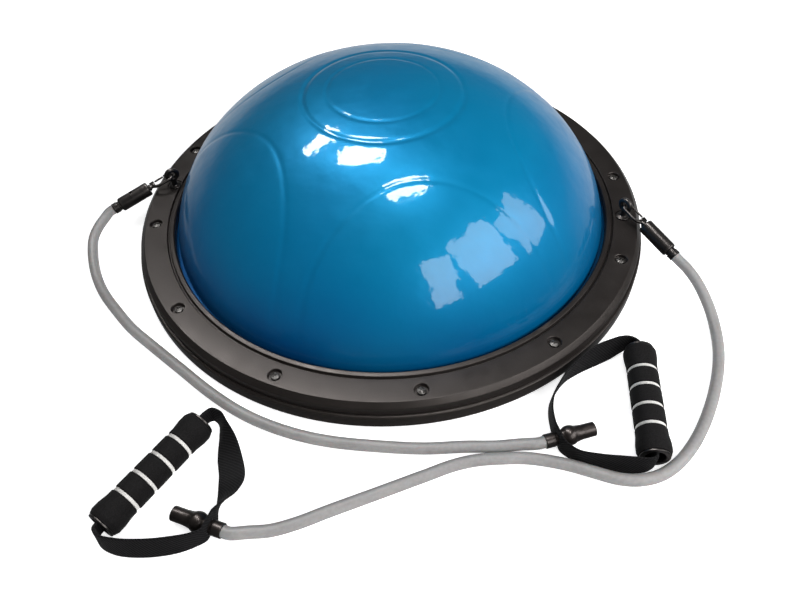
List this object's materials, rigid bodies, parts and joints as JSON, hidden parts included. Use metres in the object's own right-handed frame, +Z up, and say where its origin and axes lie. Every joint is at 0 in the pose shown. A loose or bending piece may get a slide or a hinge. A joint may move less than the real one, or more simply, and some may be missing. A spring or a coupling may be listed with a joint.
{
  "type": "balance dome trainer",
  "caption": "Inflated half-ball dome clamped on a round platform, with clipped-on elastic resistance tubes ending in foam grip handles.",
  "frame": {"origin": "on the floor, under the middle of the round platform, at the lower face of the centre foot", "axes": "+Z up through the dome; +X through the right eyelet, so the two eyelets are on -X and +X; +Y away from the two handles"},
  "size_m": [0.7281, 0.7513, 0.1923],
  "materials": {
    "base_plastic": "satin",
    "dome_vinyl": "gloss",
    "foot_rubber": "matte",
    "screw_steel": "blackened, satin",
    "clip_plastic": "semi-gloss",
    "tube_rubber": "satin",
    "sleeve_rubber": "semi-gloss",
    "webbing": "woven",
    "grip_foam": "fine foam, matte",
    "spacer_foam": "matte"
  },
  "bodies": {
    "root": {"platform_deck": "base_plastic", "clamp_ring": "base_plastic", "dome_bladder": "dome_vinyl", "valve_seat": "foot_rubber", "centre_foot": "foot_rubber", "screw_1": "screw_steel", "screw_2": "screw_steel", "screw_3": "screw_steel", "screw_4": "screw_steel", "screw_5": "screw_steel", "screw_6": "screw_steel", "screw_7": "screw_steel", "screw_8": "screw_steel", "screw_9": "screw_steel", "screw_10": "screw_steel", "screw_11": "screw_steel", "screw_12": "screw_steel", "rubber_foot_1": "foot_rubber", "rubber_foot_2": "foot_rubber", "rubber_foot_3": "foot_rubber", "rubber_foot_4": "foot_rubber", "rubber_foot_5": "foot_rubber", "rubber_foot_6": "foot_rubber", "left_eyelet": "clip_plastic", "left_clip_hook": "clip_plastic", "left_tube": "tube_rubber", "right_eyelet": "clip_plastic", "right_clip_hook": "clip_plastic", "right_tube": "tube_rubber"},
    "valve_plug": {"valve_plug": "clip_plastic"},
    "left_gate": {"left_clip_gate": "clip_plastic"},
    "left_swivel": {"left_clip_barrel": "clip_plastic", "left_tube_collar": "clip_plastic"},
    "left_handle": {"left_webbing_loop": "webbing", "left_handle_sleeve": "sleeve_rubber", "left_ball_plug": "tube_rubber"},
    "left_grip": {"left_foam_grip": "grip_foam", "left_grip_core": "clip_plastic", "left_grip_cap_top": "clip_plastic", "left_grip_cap_bottom": "clip_plastic", "left_spacer_ring_1": "spacer_foam", "left_spacer_ring_2": "spacer_foam", "left_spacer_ring_3": "spacer_foam", "left_spacer_ring_4": "spacer_foam"},
    "right_gate": {"right_clip_gate": "clip_plastic"},
    "right_swivel": {"right_clip_barrel": "clip_plastic", "right_tube_collar": "clip_plastic"},
    "right_handle": {"right_webbing_loop": "webbing", "right_handle_sleeve": "sleeve_rubber", "right_ball_plug": "tube_rubber"},
    "right_grip": {"right_foam_grip": "grip_foam", "right_grip_core": "clip_plastic", "right_grip_cap_top": "clip_plastic", "right_grip_cap_bottom": "clip_plastic", "right_spacer_ring_1": "spacer_foam", "right_spacer_ring_2": "spacer_foam", "right_spacer_ring_3": "spacer_foam", "right_spacer_ring_4": "spacer_foam"}
  },
  "joints": [
    {"name": "left_handle_lift", "type": "slide", "parent": "root", "child": "left_handle", "axis": [0, 0, 1], "range_m": [0, 0.3], "stiffness_N_per_m": 30, "deforming": ["right_tube"]},
    {"name": "left_grip_spin", "type": "hinge", "parent": "left_handle", "child": "left_grip", "pos_m": [-0.1618, -0.3767, 0.0165], "axis": [0.4358, 0.9001, 0], "continuous": true},
    {"name": "left_gate_hinge", "type": "hinge", "parent": "root", "child": "left_gate", "pos_m": [-0.29238, -0.00864, 0.04482], "axis": [0.1887, 0.1484, -0.9708], "range_deg": [0, 25], "stiffness_Nm_per_rad": 0.01, "springref_deg": -17.19},
    {"name": "left_clip_swivel", "type": "hinge", "parent": "root", "child": "left_swivel", "pos_m": [-0.2725, 0, 0.05], "axis": [-0.7631, -0.6001, -0.24], "continuous": true},
    {"name": "right_handle_lift", "type": "slide", "parent": "root", "child": "right_handle", "axis": [0, 0, 1], "range_m": [0, 0.3], "stiffness_N_per_m": 30, "deforming": ["left_tube"]},
    {"name": "right_grip_spin", "type": "hinge", "parent": "right_handle", "child": "right_grip", "pos_m": [0.2871, -0.2448, 0.0165], "axis": [-0.0412, 0.9992, 0], "continuous": true},
    {"name": "right_gate_hinge", "type": "hinge", "parent": "root", "child": "right_gate", "pos_m": [0.29502, -0.01096, 0.0442], "axis": [0.1884, -0.1912, 0.9633], "range_deg": [0, 25], "stiffness_Nm_per_rad": 0.01, "springref_deg": -17.19},
    {"name": "right_clip_swivel", "type": "hinge", "parent": "root", "child": "right_swivel", "pos_m": [0.2765, 0, 0.05], "axis": [0.6762, -0.6861, -0.2685], "continuous": true},
    {"name": "valve_plug_pull", "type": "slide", "parent": "root", "child": "valve_plug", "axis": [0, 0, -1], "range_m": [0, 0.0085]}
  ]
}
